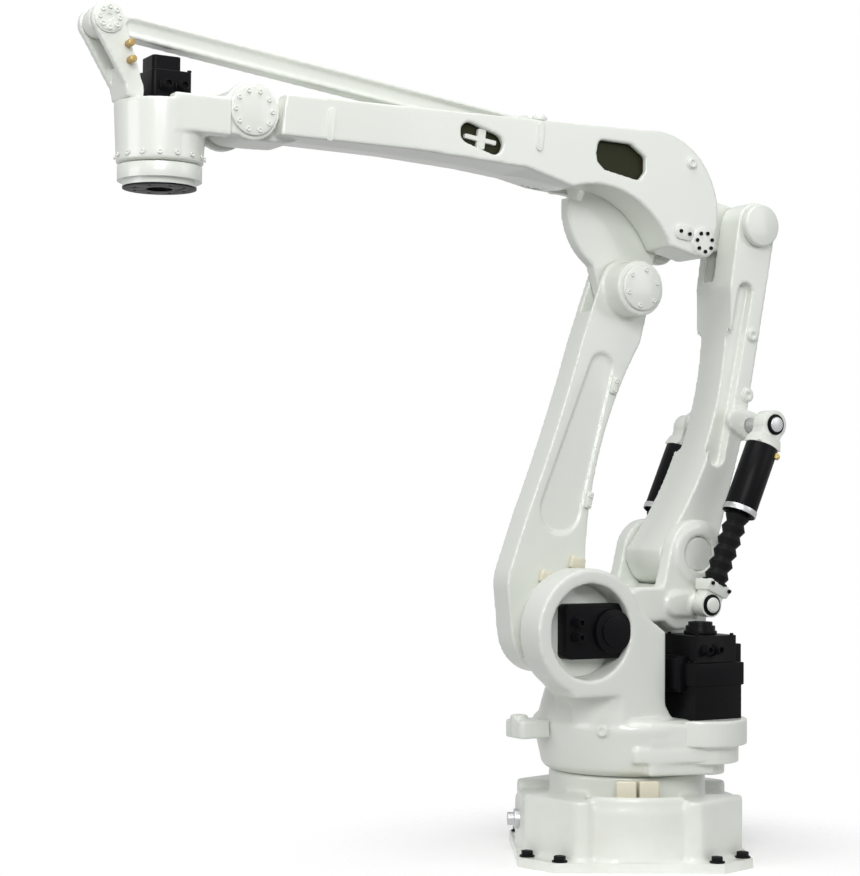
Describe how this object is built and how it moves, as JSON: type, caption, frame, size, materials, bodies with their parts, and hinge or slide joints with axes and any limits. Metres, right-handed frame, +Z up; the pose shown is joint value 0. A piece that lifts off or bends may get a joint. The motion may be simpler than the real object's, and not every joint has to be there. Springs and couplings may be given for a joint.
{
  "type": "palletizing robot arm",
  "caption": "Floor-mounted palletizing robot arm with a swinging turret, linked lower and upper arms, a level rod, gas-spring balancers and a turning tool flange.",
  "frame": {"origin": "middle of the foot's underside, where the swing axis meets the floor", "axes": "+X is the front of the base, +Z is up; at rest the arm is swung 30 degrees to the left of +X"},
  "size_m": [2.3205, 1.5242, 2.6739],
  "materials": {
    "white_paint": "gloss enamel",
    "motor_black": "satin black",
    "cream_paint": "satin",
    "steel": "turned steel",
    "brass": "plain",
    "bellows_rubber": "matt"
  },
  "bodies": {
    "base": {"base_casting": "white_paint", "base_panel": "white_paint", "base_stops": "cream_paint", "base_connector": "steel"},
    "turret": {"turret_casting": "white_paint", "front_lug": "white_paint", "j1_gearbox": "white_paint", "j1_motor": "motor_black", "j2_motor": "motor_black"},
    "lower_arm": {"lower_arm": "white_paint", "elbow_pin_cover": "white_paint", "hose_pads": "white_paint", "arm_stops": "cream_paint"},
    "rear_link": {"rear_link": "white_paint", "rear_pin_covers": "white_paint", "balancer_cross_pin": "steel"},
    "elbow": {"elbow_bracket": "white_paint", "j3_motor": "motor_black"},
    "upper_arm": {"upper_arm": "white_paint"},
    "level_rod": {"level_rod": "white_paint"},
    "wrist": {"wrist_casting": "white_paint", "wrist_pin_covers": "white_paint", "link_bracket": "white_paint", "j4_motor": "motor_black", "grease_fittings": "brass"},
    "tool": {"tool_flange": "motor_black"},
    "near_cylinder": {"near_cylinder": "motor_black"},
    "far_cylinder": {"far_cylinder": "motor_black"},
    "near_bellows": {"near_bellows": "bellows_rubber"},
    "far_bellows": {"far_bellows": "bellows_rubber"}
  },
  "joints": [
    {"name": "j1_swing", "type": "hinge", "parent": "base", "child": "turret", "pos_m": [0, 0, 0], "axis": [0, 0, 1], "range_deg": [-190, 130]},
    {"name": "j2_lower_arm", "type": "hinge", "parent": "turret", "child": "lower_arm", "pos_m": [0.28146, 0.1625, 0.78], "axis": [-0.5, 0.866, 0], "range_deg": [-25, 95]},
    {"name": "rear_link_pivot", "type": "hinge", "parent": "turret", "child": "rear_link", "pos_m": [-0.15762, -0.091, 1.03], "axis": [-0.5, 0.866, 0], "range_deg": [-25.01, 95.01]},
    {"name": "elbow_pin", "type": "hinge", "parent": "lower_arm", "child": "elbow", "pos_m": [0.01249, 0.00721, 1.93911], "axis": [-0.5, 0.866, 0], "range_deg": [-95.01, 25.01]},
    {"name": "j3_upper_arm", "type": "hinge", "parent": "elbow", "child": "upper_arm", "pos_m": [0.01249, 0.00721, 2.21411], "axis": [-0.5, 0.866, 0], "range_deg": [-3.5, 48.5]},
    {"name": "rod_pin", "type": "hinge", "parent": "elbow", "child": "level_rod", "pos_m": [0.39787, 0.22971, 2.45411], "axis": [-0.5, 0.866, 0], "range_deg": [-3.51, 48.51]},
    {"name": "wrist_pin", "type": "hinge", "parent": "upper_arm", "child": "wrist", "pos_m": [1.30317, 0.75239, 2.38392], "axis": [-0.5, 0.866, 0], "range_deg": [-48.51, 3.51]},
    {"name": "j4_tool", "type": "hinge", "parent": "wrist", "child": "tool", "pos_m": [1.51968, 0.87739, 0], "axis": [0, 0, -1], "range_deg": [-360, 360]},
    {"name": "near_cylinder_pin", "type": "hinge", "parent": "rear_link", "child": "near_cylinder", "pos_m": [-0.38345, -0.22139, 1.47776], "axis": [-0.5, 0.866, 0], "range_deg": [-22.34, 5.88]},
    {"name": "far_cylinder_pin", "type": "hinge", "parent": "rear_link", "child": "far_cylinder", "pos_m": [-0.38345, -0.22139, 1.47776], "axis": [-0.5, 0.866, 0], "range_deg": [-22.34, 5.88]},
    {"name": "near_bellows_pin", "type": "hinge", "parent": "turret", "child": "near_bellows", "pos_m": [-0.14549, -0.084, 0.859], "axis": [-0.5, 0.866, 0], "range_deg": [-19.14, 72.69]},
    {"name": "far_bellows_pin", "type": "hinge", "parent": "turret", "child": "far_bellows", "pos_m": [-0.14549, -0.084, 0.859], "axis": [-0.5, 0.866, 0], "range_deg": [-19.14, 72.69]}
  ],
  "couplings": [
    {"joint": "rear_link_pivot", "follows": "j2_lower_arm", "ratio": 1},
    {"joint": "elbow_pin", "follows": "j2_lower_arm", "ratio": -1},
    {"joint": "rod_pin", "follows": "j3_upper_arm", "ratio": 1},
    {"joint": "wrist_pin", "follows": "j3_upper_arm", "ratio": -1},
    {"joint": "near_cylinder_pin", "follows": "j2_lower_arm", "ratio": -0.235},
    {"joint": "far_cylinder_pin", "follows": "j2_lower_arm", "ratio": -0.235},
    {"joint": "near_bellows_pin", "follows": "j2_lower_arm", "ratio": 0.765},
    {"joint": "far_bellows_pin", "follows": "j2_lower_arm", "ratio": 0.765}
  ]
}
